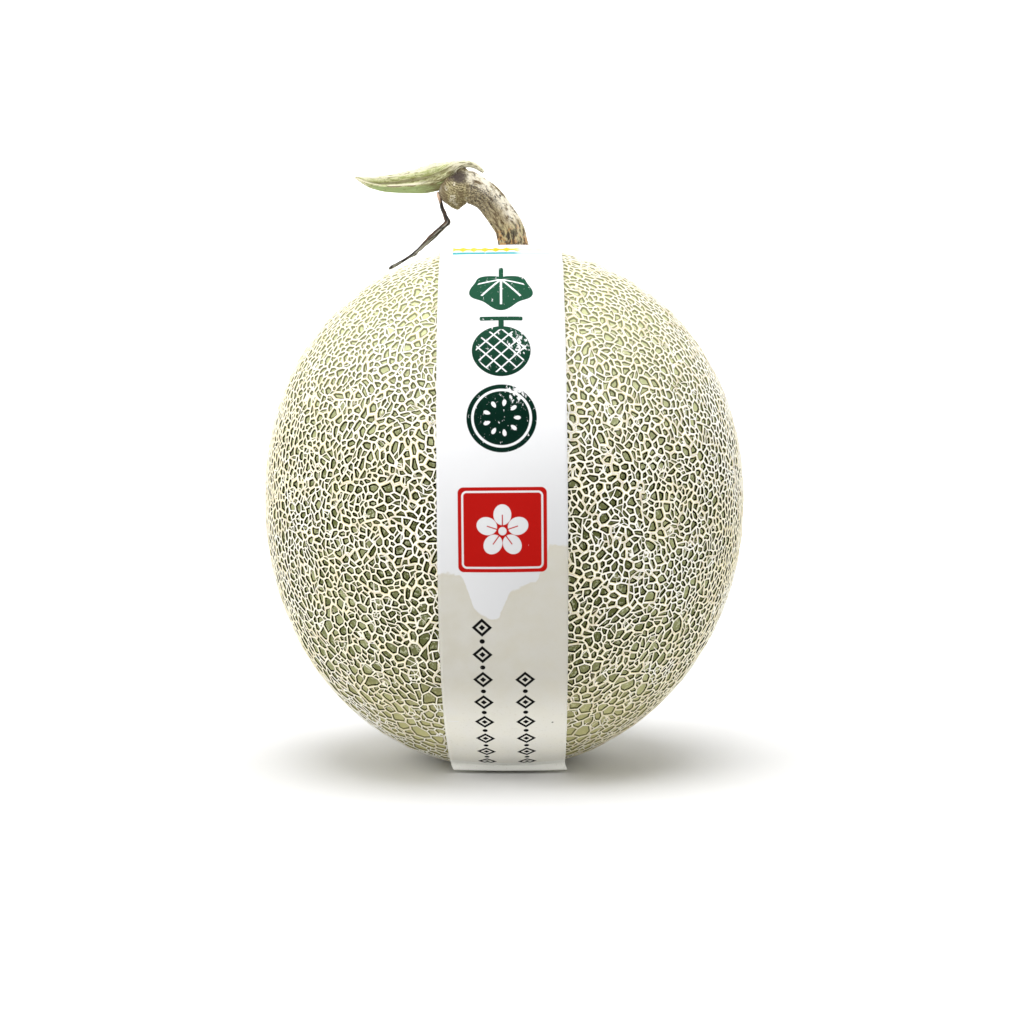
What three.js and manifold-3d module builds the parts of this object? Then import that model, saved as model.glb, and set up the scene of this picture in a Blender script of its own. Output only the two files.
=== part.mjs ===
// A whole muskmelon standing on its base: a nearly round fruit whose rind carries a raised cork net,
// its ribbed stalk with the swollen node and a cut-off length of shrivelled vine, a dried tendril,
// and a strip label that hangs down the front. Millimetres, +Z up along the stem axis, the label on
// the -Y side, and the origin in the middle of the small flat that the fruit rests on.
import * as THREE from 'three';
import { ConvexHull } from 'three/addons/math/ConvexHull.js';
import { mergeVertices } from 'three/addons/utils/BufferGeometryUtils.js';
import Module from 'manifold-3d';

const wasm = await Module();
wasm.setup();

// Driving dimensions of the fruit
const WIDEST_RADIUS = 75.7;
const SHOULDER_HEIGHT = 80.6; // from the widest level up to the top, before the stalk's dimple
const BELLY_DEPTH = 84.3; // from the widest level down to the blossom end, before the flat
const FLAT_CUT = 2.1;
const SHOULDER_POWER = 2.145; // fuller than an ellipse, which has 2
const BELLY_POWER = 2.02;
const LEFT_SWELL = 0.8; // the shoulder and the belly are a little fuller on the -X side
const WIDEST_Z = BELLY_DEPTH - FLAT_CUT;

// The cork net: raised crests round sunken panes of bare rind, larger than life
const NET_CELLS = 720;
const NET_HEIGHT = 1.2;
const NET_FLANK = 1.9; // how far a crest's flank reaches into its pane
const SMALLEST_PANE = 0.3; // a pane's floor as a share of the pane, at least
const NET_CANDIDATES = 3; // the more of them, the more even the panes
const NET_SEED = 4127;

// The dimple round the stalk, and the level seat that the stalk's foot stands on
const STALK_X = 2.6;
const DIMPLE_DEPTH = 2.0;
const DIMPLE_RADIUS = 9;
const SEAT_RADIUS = 6.4;
const SEAT_Z = WIDEST_Z + SHOULDER_HEIGHT - DIMPLE_DEPTH - NET_HEIGHT;

// The stalk: a ribbed stem that leans over to the -X side, with the swollen node at its end
const GAP = 0.3; // between neighbouring pieces
const STALK_PATH = [
  [2.9, 0, SEAT_Z + GAP], [2.7, 0, 162.9], [1.3, 0.3, 168.6], [-0.9, 0.5, 172.4],
  [-3.3, 0.5, 175.9], [-6.1, 0.3, 178.7], [-10.6, 0, 180.9], [-14.6, 0, 180.4],
];
const STALK_RADIUS = 4.4;
const FOOT_FLARE = 1.2;
const FLARE_HEIGHT = 2.2;
const STALK_RIBS = 5;
const RIB_DEPTH = 0.07; // as a share of the radius
const STALK_STEPS = 20;
const NODE_CENTRE = new THREE.Vector3(-15.6, 0, 180.0);
const NODE_HALF = new THREE.Vector3(5.4, 4.7, 5.0);
const NODE_TIP = 0.1; // how far the underside is drawn down, as a share of its half height

// The cut-off vine: middle of the section, half height, half thickness, and depth of its lengthwise fold
const VINE_STATIONS = [
  { at: [-47.0, 0, 183.9], half: 0.5, thick: 0.5, fold: 0 },
  { at: [-43.4, 0, 183.0], half: 1.5, thick: 1.3, fold: 0.2 },
  { at: [-39.7, 0.1, 182.7], half: 2.7, thick: 2.0, fold: 0.45 },
  { at: [-35.5, 0.2, 182.9], half: 3.1, thick: 2.5, fold: 0.5 },
  { at: [-30.6, 0.2, 183.2], half: 3.4, thick: 2.9, fold: 0.5 },
  { at: [-25.2, 0.1, 183.9], half: 4.1, thick: 3.4, fold: 0.4 },
  { at: [-20.3, 0, 185.3], half: 4.2, thick: 4.0, fold: 0.2 },
  { at: [-17.8, 0, 186.7], half: 3.2, thick: 4.1, fold: 0.1 },
  { at: [-15.3, 0, 188.1], half: 1.9, thick: 3.9, fold: 0 },
  { at: [-12.1, 0, 188.8], half: 1.1, thick: 3.2, fold: 0 },
  { at: [-9.6, 0, 188.4], half: 0.9, thick: 2.3, fold: 0 },
  { at: [-6.5, 0, 186.3], half: 0.5, thick: 0.8, fold: 0 },
];
const VINE_STEPS = 34;
const VINE_SIDES = 16;
const FOLD_WIDTH = 0.38; // of the half height

// The tendril: straight dry stretches with a kink and a joint between them, and its free tip on the rind
const TENDRIL_PATH = [
  [-22.0, 0, 179.6], [-20.4, -0.2, 175.0], [-17.8, -0.4, 170.5],
  [-22.8, -0.4, 165.9], [-28.4, -0.3, 160.6], [-32.4, -0.1, 158.2], [-36.5, 0, 155.9],
];
const TENDRIL_RADIUS = 0.6;
const TENDRIL_SWELL = 0.25; // added in the middle of the second stretch
const TENDRIL_SIDES = 8;
const STEPS_PER_STRETCH = 4;

// The strip label: flat across at its upper end, bowed a little with the fruit further down
const LABEL_WIDTH = 36.8;
const LABEL_THICKNESS = 0.6;
const LABEL_CLEAR = 0.35;
const LABEL_X = -0.5; // where its middle line passes the widest level
const LABEL_LEAN = 0.019; // sideways for each millimetre of height, towards -X at the top
const LABEL_TOP_ANGLE = 8.6; // from the stem axis, in degrees
const LABEL_BOTTOM_ANGLE = 160.2;
const LABEL_BOW = 0.55; // share of the fruit's own curve that the strip takes up across its width
const FLAP_LENGTH = 2.2; // the lower end, creased outwards
const FLAP_ANGLE = 38; // in degrees, between the flap and the strip above it
const LABEL_STEPS = 54;
const LABEL_COLUMNS = 6;

const UP = new THREE.Vector3(0, 0, 1);
const BACK = new THREE.Vector3(0, 1, 0);

// A seeded random number from 0 to 1 at each call
function randomSource(seed) {
  let state = seed >>> 0;
  return () => {
    state = (state + 0x6d2b79f5) >>> 0;
    let mixed = Math.imul(state ^ (state >>> 15), state | 1);
    mixed ^= mixed + Math.imul(mixed ^ (mixed >>> 7), mixed | 61);
    return ((mixed ^ (mixed >>> 14)) >>> 0) / 4294967296;
  };
}

function geometryFrom(points, triangles) {
  const geometry = new THREE.BufferGeometry();
  geometry.setAttribute('position', new THREE.Float32BufferAttribute(points.flatMap((p) => [p.x, p.y, p.z]), 3));
  geometry.setIndex(triangles.flat());
  return geometry;
}

// A closed geometry as a solid that can be joined to others or cut
function solidFrom(geometry) {
  const bare = geometry.clone();
  bare.deleteAttribute('normal');
  bare.deleteAttribute('uv');
  const merged = mergeVertices(bare, 1e-4);
  return new wasm.Manifold(new wasm.Mesh({
    numProp: 3,
    vertProperties: new Float32Array(merged.attributes.position.array),
    triVerts: new Uint32Array(merged.index.array),
  }));
}

function geometryOf(solid) {
  const mesh = solid.getMesh();
  const geometry = new THREE.BufferGeometry();
  geometry.setAttribute('position', new THREE.BufferAttribute(mesh.vertProperties, 3));
  geometry.setIndex(new THREE.BufferAttribute(mesh.triVerts, 1));
  return geometry;
}

// Distance from the fruit's middle to its outer skin, the crests of the net, along a unit direction
function skinRadius(direction) {
  const across = Math.hypot(direction.x, direction.y) / WIDEST_RADIUS;
  const upper = direction.z >= 0;
  const power = upper ? SHOULDER_POWER : BELLY_POWER;
  const along = Math.abs(direction.z) / (upper ? SHOULDER_HEIGHT : BELLY_DEPTH);
  const plain = (across ** power + along ** power) ** (-1 / power);
  return plain - LEFT_SWELL * direction.x * direction.z ** 2;
}

// A point of the fruit along a direction, a given depth below the crests, with the stalk's dimple
function fruitPoint(direction, depth) {
  const unit = direction.clone().normalize();
  const point = unit.clone().multiplyScalar(skinRadius(unit) - depth);
  if (unit.z > 0) {
    const reach = Math.hypot(point.x - STALK_X, point.y) / DIMPLE_RADIUS;
    point.z -= DIMPLE_DEPTH * Math.exp(-reach * reach);
  }
  point.z += WIDEST_Z;
  return point;
}

// Seeded directions over the whole fruit, each the candidate that is furthest from those before it
function netSites() {
  const random = randomSource(NET_SEED);
  const anyDirection = () => {
    const z = 2 * random() - 1;
    const turn = 2 * Math.PI * random();
    const level = Math.sqrt(1 - z * z);
    return new THREE.Vector3(level * Math.cos(turn), level * Math.sin(turn), z);
  };
  const sites = [anyDirection()];
  while (sites.length < NET_CELLS) {
    let best = null;
    let bestDistance = -1;
    for (let i = 0; i < NET_CANDIDATES; i += 1) {
      const candidate = anyDirection();
      const distance = Math.min(...sites.map((site) => site.distanceToSquared(candidate)));
      if (distance > bestDistance) {
        bestDistance = distance;
        best = candidate;
      }
    }
    sites.push(best);
  }
  return sites;
}

// Each site owns the ground nearest to it. The borders of these cells are the crests of the net,
// and each cell slopes down from its crests to a sunken pane.
function nettedSkin() {
  const hull = new ConvexHull().setFromPoints(netSites());
  const points = hull.faces.map((face) => fruitPoint(face.normal, 0));
  const crestOf = new Map(hull.faces.map((face, index) => [face, index]));
  const firstEdge = new Map();
  for (const face of hull.faces) {
    for (const edge of [face.edge, face.edge.next, face.edge.prev]) {
      firstEdge.set(edge.vertex.point, edge);
    }
  }
  const triangles = [];
  for (const start of firstEdge.values()) {
    const ring = [];
    let edge = start;
    do {
      ring.unshift(crestOf.get(edge.face));
      edge = edge.next.twin;
    } while (edge !== start);
    const middle = new THREE.Vector3();
    ring.forEach((crest) => middle.addScaledVector(points[crest], 1 / ring.length));
    const size = ring.reduce((sum, crest) => sum + points[crest].distanceTo(middle), 0) / ring.length;
    const share = Math.max(SMALLEST_PANE, 1 - NET_FLANK / size);
    const firstPane = points.length;
    for (const crest of ring) {
      const inner = middle.clone().lerp(points[crest], share);
      inner.z -= WIDEST_Z;
      points.push(fruitPoint(inner, NET_HEIGHT));
    }
    ring.forEach((crest, i) => {
      const next = (i + 1) % ring.length;
      triangles.push([crest, ring[next], firstPane + next], [crest, firstPane + next, firstPane + i]);
      if (i > 0 && next > 0) {
        triangles.push([firstPane, firstPane + i, firstPane + next]);
      }
    });
  }
  return geometryFrom(points, triangles);
}

// The netted body, cut level underneath where it rests, with a level seat for the stalk
function fruitGeometry() {
  const slab = 4 * WIDEST_RADIUS;
  const under = new THREE.BoxGeometry(slab, slab, slab).translate(0, 0, -slab / 2);
  const seatHeight = 2 * (DIMPLE_DEPTH + NET_HEIGHT);
  const seat = new THREE.CylinderGeometry(SEAT_RADIUS, SEAT_RADIUS, seatHeight, 28);
  seat.rotateX(Math.PI / 2).translate(STALK_X, 0, SEAT_Z + seatHeight / 2);
  return geometryOf(solidFrom(nettedSkin()).subtract(solidFrom(under)).subtract(solidFrom(seat)));
}

// A closed body through rings of points, its ends closed on their middles. Each ring runs from the
// normal towards the binormal of its place on the path.
function loft(rings) {
  const sides = rings[0].length;
  const points = rings.flat();
  const triangles = [];
  for (let i = 0; i + 1 < rings.length; i += 1) {
    for (let j = 0; j < sides; j += 1) {
      const here = i * sides + j;
      const beside = i * sides + ((j + 1) % sides);
      triangles.push([here, beside, beside + sides], [here, beside + sides, here + sides]);
    }
  }
  const ends = [rings[0], rings[rings.length - 1]].map((ring) => {
    const middle = new THREE.Vector3();
    ring.forEach((point) => middle.addScaledVector(point, 1 / sides));
    return points.push(middle) - 1;
  });
  const last = (rings.length - 1) * sides;
  for (let j = 0; j < sides; j += 1) {
    const next = (j + 1) % sides;
    triangles.push([ends[0], next, j], [ends[1], last + j, last + next]);
  }
  return geometryFrom(points, triangles);
}

// A ring of points round a place on a path: outline gives the reach along the normal and sideways
function ringAt(middle, tangent, sides, outline) {
  const side = BACK.clone().addScaledVector(tangent, -BACK.dot(tangent)).normalize();
  const normal = side.clone().cross(tangent);
  return Array.from({ length: sides }, (_, j) => {
    const turn = (2 * Math.PI * j) / sides;
    const [alongNormal, sideways] = outline(turn);
    return middle.clone().addScaledVector(normal, alongNormal).addScaledVector(side, sideways);
  });
}

function pathFrom(points) {
  return new THREE.CatmullRomCurve3(points.map((p) => new THREE.Vector3(...p)), false, 'centripetal');
}

// The ribbed stem from its flared foot into the node, swollen by grow for a clearance body
function stemSolid(grow) {
  const path = pathFrom(STALK_PATH);
  const length = path.getLength();
  const rings = [];
  for (let i = 0; i <= STALK_STEPS; i += 1) {
    const share = i / STALK_STEPS;
    const flare = FOOT_FLARE * Math.exp(-(share * length) / FLARE_HEIGHT);
    const outline = (turn) => {
      const rib = 1 + RIB_DEPTH * Math.cos(STALK_RIBS * (turn + 0.5 * share));
      const reach = STALK_RADIUS * rib + flare + grow;
      return [reach * Math.cos(turn), reach * Math.sin(turn)];
    };
    const tangent = i === 0 ? UP.clone() : path.getTangentAt(share);
    rings.push(ringAt(path.getPointAt(share), tangent, 3 * STALK_RIBS, outline));
  }
  return solidFrom(loft(rings));
}

// The swollen node, drawn down to a blunt tip underneath
function nodeSolid(grow) {
  const ball = new THREE.SphereGeometry(1, 18, 12).rotateX(Math.PI / 2);
  const position = ball.attributes.position;
  for (let i = 0; i < position.count; i += 1) {
    const spot = new THREE.Vector3().fromBufferAttribute(position, i);
    const tip = 1 + NODE_TIP * Math.max(0, -spot.z) ** 4;
    spot.set(spot.x * (NODE_HALF.x + grow), spot.y * (NODE_HALF.y + grow), spot.z * tip * (NODE_HALF.z + grow));
    position.setXYZ(i, ...spot.add(NODE_CENTRE).toArray());
  }
  return solidFrom(ball);
}

function stalkSolid(grow) {
  return stemSolid(grow).add(nodeSolid(grow));
}

// The vine's section has two lobes with a lengthwise fold between them, front and back
function vineGeometry() {
  const path = pathFrom(VINE_STATIONS.map((station) => station.at));
  const last = VINE_STATIONS.length - 1;
  const rings = [];
  for (let i = 0; i <= VINE_STEPS; i += 1) {
    const place = (i / VINE_STEPS) * last;
    const low = Math.min(Math.floor(place), last - 1);
    const [from, to] = [VINE_STATIONS[low], VINE_STATIONS[low + 1]];
    const mixed = (name) => THREE.MathUtils.lerp(from[name], to[name], place - low);
    const outline = (turn) => {
      const fold = mixed('fold') * Math.exp(-((Math.cos(turn) / FOLD_WIDTH) ** 2));
      return [mixed('half') * Math.cos(turn), mixed('thick') * (1 - fold) * Math.sin(turn)];
    };
    rings.push(ringAt(path.getPoint(place / last), path.getTangent(place / last), VINE_SIDES, outline));
  }
  return geometryOf(solidFrom(loft(rings)).subtract(stalkSolid(GAP)));
}

function tendrilGeometry() {
  const corners = TENDRIL_PATH.map((p) => new THREE.Vector3(...p));
  const stretches = corners.length - 1;
  const path = new THREE.CatmullRomCurve3(corners, false, 'catmullrom', 0.12);
  const steps = stretches * STEPS_PER_STRETCH;
  const swellAt = 3 / stretches;
  const rings = [];
  for (let i = 0; i <= steps; i += 1) {
    const share = i / steps;
    const swell = TENDRIL_SWELL * Math.exp(-(((share - swellAt) * stretches) ** 2));
    const reach = TENDRIL_RADIUS + swell;
    const outline = (turn) => [reach * Math.cos(turn), reach * Math.sin(turn)];
    rings.push(ringAt(path.getPoint(share), path.getTangent(share), TENDRIL_SIDES, outline));
  }
  return loft(rings);
}

// A point of the label's middle line, just clear of the net, with the skin's direction there
function labelLine(degrees) {
  const spot = (angle) => {
    const unit = new THREE.Vector3(0, -Math.sin(angle), Math.cos(angle));
    return unit.multiplyScalar(skinRadius(unit));
  };
  const angle = THREE.MathUtils.degToRad(degrees);
  const place = spot(angle);
  const down = spot(angle + 1e-3).sub(place).normalize();
  place.x = LABEL_X - LABEL_LEAN * place.z;
  place.z += WIDEST_Z;
  down.x = -LABEL_LEAN * down.z;
  down.normalize();
  const out = new THREE.Vector3(-1, 0, 0).cross(down).normalize();
  return { place, down, out };
}

// The strip as one thin slab: an inner and an outer sheet of points, closed along all four edges
function labelGeometry() {
  const rows = [];
  for (let i = 0; i <= LABEL_STEPS; i += 1) {
    const share = i / LABEL_STEPS;
    const degrees = THREE.MathUtils.lerp(LABEL_TOP_ANGLE, LABEL_BOTTOM_ANGLE, share);
    rows.push({ ...labelLine(degrees), bow: LABEL_BOW * Math.min(1, 4 * share) });
  }
  const crease = rows[LABEL_STEPS];
  const kick = THREE.MathUtils.degToRad(FLAP_ANGLE);
  const along = crease.down.clone().multiplyScalar(Math.cos(kick)).addScaledVector(crease.out, Math.sin(kick));
  const lifted = crease.out.clone().multiplyScalar(Math.cos(kick)).addScaledVector(crease.down, -Math.sin(kick));
  rows.push({ ...crease, place: crease.place.clone().addScaledVector(along, FLAP_LENGTH), out: lifted });

  const points = [];
  for (const rise of [LABEL_CLEAR, LABEL_CLEAR + LABEL_THICKNESS]) {
    for (const { place, down, out, bow } of rows) {
      const across = out.clone().cross(down).normalize();
      for (let j = 0; j <= LABEL_COLUMNS; j += 1) {
        const offset = LABEL_WIDTH * (j / LABEL_COLUMNS - 0.5);
        const sink = (bow * offset * offset) / (2 * WIDEST_RADIUS);
        points.push(place.clone().addScaledVector(across, offset).addScaledVector(out, rise - sink));
      }
    }
  }
  const width = LABEL_COLUMNS + 1;
  const sheet = rows.length * width;
  const triangles = [];
  const quad = (a, b, c, d) => triangles.push([a, b, c], [a, c, d]);
  for (let i = 0; i + 1 < rows.length; i += 1) {
    for (let j = 0; j < LABEL_COLUMNS; j += 1) {
      const corner = i * width + j;
      quad(corner, corner + 1, corner + width + 1, corner + width);
      quad(sheet + corner, sheet + corner + width, sheet + corner + width + 1, sheet + corner + 1);
    }
    const left = i * width;
    const right = left + LABEL_COLUMNS;
    quad(left, left + width, sheet + left + width, sheet + left);
    quad(right + width, right, sheet + right, sheet + right + width);
  }
  const foot = (rows.length - 1) * width;
  for (let j = 0; j < LABEL_COLUMNS; j += 1) {
    quad(j + 1, j, sheet + j, sheet + j + 1);
    quad(foot + j, foot + j + 1, sheet + foot + j + 1, sheet + foot + j);
  }
  return geometryFrom(points, triangles);
}

function piece(name, geometry, colour, roughness) {
  const material = new THREE.MeshStandardMaterial({ color: colour, roughness, metalness: 0 });
  const mesh = new THREE.Mesh(geometry, material);
  mesh.name = name;
  return mesh;
}

const muskmelon = new THREE.Group();
muskmelon.add(
  piece('fruit', fruitGeometry(), 0xc9c5a6, 0.75),
  piece('fruit_stalk', geometryOf(stalkSolid(0)), 0xb5a283, 0.85),
  piece('vine_piece', vineGeometry(), 0xb9bd86, 0.8),
  piece('tendril', tendrilGeometry(), 0x4b3d2c, 0.85),
  piece('label_strip', labelGeometry(), 0xf0f0ee, 0.6),
);

export default muskmelon;
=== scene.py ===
import math

import bpy
import numpy as np
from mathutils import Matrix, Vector, noise


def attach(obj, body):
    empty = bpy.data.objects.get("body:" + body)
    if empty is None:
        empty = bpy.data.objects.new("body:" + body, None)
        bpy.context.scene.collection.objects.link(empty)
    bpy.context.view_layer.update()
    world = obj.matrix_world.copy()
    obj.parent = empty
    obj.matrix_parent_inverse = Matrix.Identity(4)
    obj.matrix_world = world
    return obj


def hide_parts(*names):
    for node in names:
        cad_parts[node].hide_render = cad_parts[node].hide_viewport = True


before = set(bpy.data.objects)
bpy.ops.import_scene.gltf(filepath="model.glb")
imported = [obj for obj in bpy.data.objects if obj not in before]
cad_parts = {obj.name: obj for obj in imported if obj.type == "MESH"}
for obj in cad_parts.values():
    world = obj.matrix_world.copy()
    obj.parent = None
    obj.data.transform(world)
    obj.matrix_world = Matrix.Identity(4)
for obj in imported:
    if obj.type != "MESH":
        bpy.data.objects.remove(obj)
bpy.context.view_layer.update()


# The fruit is one grown body, a little taller than it is wide. Its green rind split as it swelled,
# and cork healed the splits into a raised net. It rests on a small flat round the blossom scar.
WIDEST_RADIUS = 0.0757
SHOULDER_HEIGHT = 0.0806
BELLY_DEPTH = 0.0843
WIDEST_Z = 0.0822
SHOULDER_POWER = 2.145
BELLY_POWER = 2.02
LEFT_SWELL = 0.0008
STALK_X = 0.0026
DIMPLE_DEPTH = 0.002
DIMPLE_RADIUS = 0.009

CREAM_CORK = (0.97, 0.96, 0.92, 1)
WARM_CORK = (0.93, 0.87, 0.69, 1)
SHOULDER_CORK = (0.84, 0.81, 0.68, 1)
CORK_FLANK_SHADE = (0.66, 0.59, 0.29, 1)
CORK_CRACK = (0.5, 0.34, 0.19, 1)
SCAR_BROWN = (0.34, 0.25, 0.14, 1)
PALE_RIND = (0.385, 0.4, 0.195, 1)
DEEP_RIND = (0.13, 0.143, 0.048, 1)
FRONT_DARK_RIND = (0.072, 0.08, 0.022, 1)
RIND_FLECK = (0.6, 0.62, 0.42, 1)
PANE_EDGE_SHADE = (0.004, 0.004, 0.0003, 1)
PALE_AND_LIT_SHOULDER_RIND = (0.68, 0.7, 0.4, 1)
BELLY_TAN_AND_BOUNCE_LIGHT = (0.6, 0.56, 0.27, 1)


def fill(tree, socket, value):
    """Links a field or a socket to a node's input, or sets the input to a plain value."""
    if isinstance(value, Field):
        value = value.socket
    if isinstance(value, bpy.types.NodeSocket):
        tree.links.new(value, socket)
    else:
        socket.default_value = value


def add_node(tree, kind, inputs=None, **settings):
    """A new node with its settings, its inputs filled by name or by place."""
    node = tree.nodes.new(kind)
    for name, value in settings.items():
        setattr(node, name, value)
    for key, value in (inputs or {}).items():
        named = [s for s in node.inputs if s.name == key and s.enabled]
        fill(tree, node.inputs[key] if isinstance(key, int) else named[0], value)
    return node


class Field:
    """A number, vector or colour in a node tree, worked with as in plain arithmetic."""

    def __init__(self, tree, socket):
        self.tree = tree
        self.socket = socket

    def math(self, operation, *others):
        node = add_node(self.tree, "ShaderNodeMath", dict(enumerate((self, *others))), operation=operation)
        return Field(self.tree, node.outputs[0])

    def vector(self, operation, *others):
        inputs = dict(enumerate((self, *others)))
        node = add_node(self.tree, "ShaderNodeVectorMath", inputs, operation=operation)
        number = operation in ("LENGTH", "DISTANCE", "DOT_PRODUCT")
        return Field(self.tree, node.outputs[1 if number else 0])

    def scaled(self, factor):
        inputs = {"Vector": self, "Scale": factor}
        node = add_node(self.tree, "ShaderNodeVectorMath", inputs, operation="SCALE")
        return Field(self.tree, node.outputs[0])

    def parts(self):
        node = add_node(self.tree, "ShaderNodeSeparateXYZ", {0: self})
        return [Field(self.tree, socket) for socket in node.outputs]

    def ramp(self, low, high, to_low=0.0, to_high=1.0):
        """Goes smoothly from one value to another as this goes from low to high."""
        inputs = {"Value": self, "From Min": low, "From Max": high, "To Min": to_low, "To Max": to_high}
        node = add_node(self.tree, "ShaderNodeMapRange", inputs, interpolation_type="SMOOTHSTEP")
        return Field(self.tree, node.outputs[0])

    def mix(self, low, high):
        """One colour where this is 0 and another where it is 1."""
        node = add_node(self.tree, "ShaderNodeMix", {0: self, 6: low, 7: high}, data_type="RGBA")
        return Field(self.tree, node.outputs[2])

    def __add__(self, other):
        return self.math("ADD", other)

    def __sub__(self, other):
        return self.math("SUBTRACT", other)

    def __rsub__(self, other):
        return self.math("MULTIPLY", -1.0) + other

    def __mul__(self, other):
        return self.math("MULTIPLY", other)

    def __truediv__(self, other):
        return self.math("DIVIDE", other)

    def __pow__(self, other):
        return self.math("POWER", other)

    def __gt__(self, other):
        return self.math("GREATER_THAN", other)

    __radd__ = __add__
    __rmul__ = __mul__


def combined(tree, x, y, z):
    return Field(tree, add_node(tree, "ShaderNodeCombineXYZ", {0: x, 1: y, 2: z}).outputs[0])


def on_fruit(tree, spot, depth):
    """The place on the fruit that lies the way of a spot from its middle, a depth under the crests."""
    unit = spot.vector("NORMALIZE")
    x, y, z = unit.parts()
    upper = z > 0.0
    power = upper * (SHOULDER_POWER - BELLY_POWER) + BELLY_POWER
    half_height = upper * (SHOULDER_HEIGHT - BELLY_DEPTH) + BELLY_DEPTH
    across = (x * x + y * y).math("SQRT") / WIDEST_RADIUS
    along = z.math("ABSOLUTE") / half_height
    reach = (across ** power + along ** power) ** (power ** -1.0 * -1.0)
    reach = reach - x * z * z * LEFT_SWELL - depth
    x, y, z = unit.scaled(reach).parts()
    off_stalk = ((x - STALK_X) ** 2.0 + y * y) / DIMPLE_RADIUS ** 2
    z = z - upper * DIMPLE_DEPTH * (off_stalk * -1.0).math("EXPONENT") + WIDEST_Z
    return combined(tree, x, y, z.math("MAXIMUM", 0.0))


def cork_net_tree(material):
    """Seeded sites on a ball give cells, each cell gets a sunken pane, and all is set on the fruit."""
    tree = bpy.data.node_groups.new("raised_cork_net", "GeometryNodeTree")
    tree.interface.new_socket("Geometry", in_out="INPUT", socket_type="NodeSocketGeometry")
    tree.interface.new_socket("Geometry", in_out="OUTPUT", socket_type="NodeSocketGeometry")
    for name in NET_SIZES:
        tree.interface.new_socket(name, in_out="INPUT", socket_type="NodeSocketFloat")
    tree.interface.new_socket("Seed", in_out="INPUT", socket_type="NodeSocketInt")
    given = add_node(tree, "NodeGroupInput").outputs
    size = {name: Field(tree, given[name]) for name in NET_SIZES}

    position = Field(tree, add_node(tree, "GeometryNodeInputPosition").outputs[0])
    index = add_node(tree, "GeometryNodeInputIndex").outputs[0]

    def store(mesh, name, value, kind="FLOAT", domain="POINT"):
        inputs = {"Geometry": mesh, "Name": name, "Value": value}
        node = add_node(tree, "GeometryNodeStoreNamedAttribute", inputs, data_type=kind, domain=domain)
        return node.outputs[0]

    def named(name, kind="FLOAT"):
        node = add_node(tree, "GeometryNodeInputNamedAttribute", {"Name": name}, data_type=kind)
        return Field(tree, node.outputs[0])

    def on_domain(value, domain, kind="FLOAT"):
        node = add_node(tree, "GeometryNodeFieldOnDomain", {0: value}, domain=domain, data_type=kind)
        return Field(tree, node.outputs[0])

    ball = add_node(tree, "GeometryNodeMeshIcoSphere", {"Radius": 1.0, "Subdivisions": BALL_SUBDIVISIONS})
    belly = position.parts()[2].ramp(-0.95, -0.1, BELLY_SHARE, 1.0)
    sites = add_node(tree, "GeometryNodeDistributePointsOnFaces", {
        "Mesh": ball.outputs[0], "Distance Min": size["Least Distance"], "Density Max": size["Density"],
        "Density Factor": belly, "Seed": given["Seed"]}, distribute_method="POISSON")
    hull = add_node(tree, "GeometryNodeConvexHull", {0: sites.outputs["Points"]})
    cells = add_node(tree, "GeometryNodeDualMesh", {0: hull.outputs[0]}).outputs[0]
    # Where two forks of the net come close they meet in one, so some cells have three or four sides
    cells = add_node(tree, "GeometryNodeMergeByDistance", {
        "Geometry": cells, "Distance": size["Fork Gap"]}).outputs[0]

    # Neighbouring cells form patches, and the ridges between patches split first and grew thickest
    patches = add_node(tree, "ShaderNodeTexVoronoi", {"Vector": position, "Scale": size["Patch Scale"]})
    patch = Field(tree, patches.outputs["Color"]).parts()[0]
    cells = store(cells, "patch", patch, domain="FACE")
    patch = named("patch")
    spread = on_domain(patch * patch, "FACE") - patch * patch
    cells = store(cells, "trunk", spread.ramp(0.0, 0.02))
    trunk = named("trunk")
    scatter = add_node(tree, "FunctionNodeRandomValue", {"ID": index}, data_type="FLOAT")
    tint = next(s for s in scatter.outputs if s.enabled)
    cells = store(cells, "tint", tint, domain="FACE")

    wander = add_node(tree, "ShaderNodeTexNoise", {
        "Vector": position, "Scale": WANDER_SCALE, "Detail": 1.5})
    wander = Field(tree, wander.outputs["Color"]).vector("SUBTRACT", (0.5, 0.5, 0.5))
    jog = add_node(tree, "FunctionNodeRandomValue", {"Min": (-1, -1, -1), "Max": (1, 1, 1)},
                   data_type="FLOAT_VECTOR")
    jog = Field(tree, next(s for s in jog.outputs if s.enabled))
    bent = position.vector("ADD", wander.scaled(size["Wander"])).vector("ADD", jog.scaled(size["Jog"]))
    crest_noise = add_node(tree, "ShaderNodeTexNoise", {
        "Vector": position, "Scale": WAVER_SCALE, "Detail": 1.0})
    swell = (1.0 - trunk) * size["Trunk Rise"] + Field(tree, crest_noise.outputs[0]) * size["Crest Waver"]
    crests = add_node(tree, "GeometryNodeSetPosition", {
        "Geometry": cells, "Position": on_fruit(tree, bent, swell)})
    split = add_node(tree, "GeometryNodeSplitEdges", {0: crests.outputs[0]}).outputs[0]

    # Each corner moves in from both its edges by the ridge's half width, less in a narrow cell
    corner = add_node(tree, "GeometryNodeCornersOfVertex", {"Vertex Index": index}).outputs["Corner Index"]

    def beside(offset):
        other = add_node(tree, "GeometryNodeOffsetCornerInFace", {"Corner Index": corner, "Offset": offset})
        vertex = add_node(tree, "GeometryNodeVertexOfCorner", {0: other.outputs[0]})
        spot = add_node(tree, "GeometryNodeFieldAtIndex", {"Value": position, "Index": vertex.outputs[0]},
                        data_type="FLOAT_VECTOR", domain="POINT")
        return Field(tree, spot.outputs[0])

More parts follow.
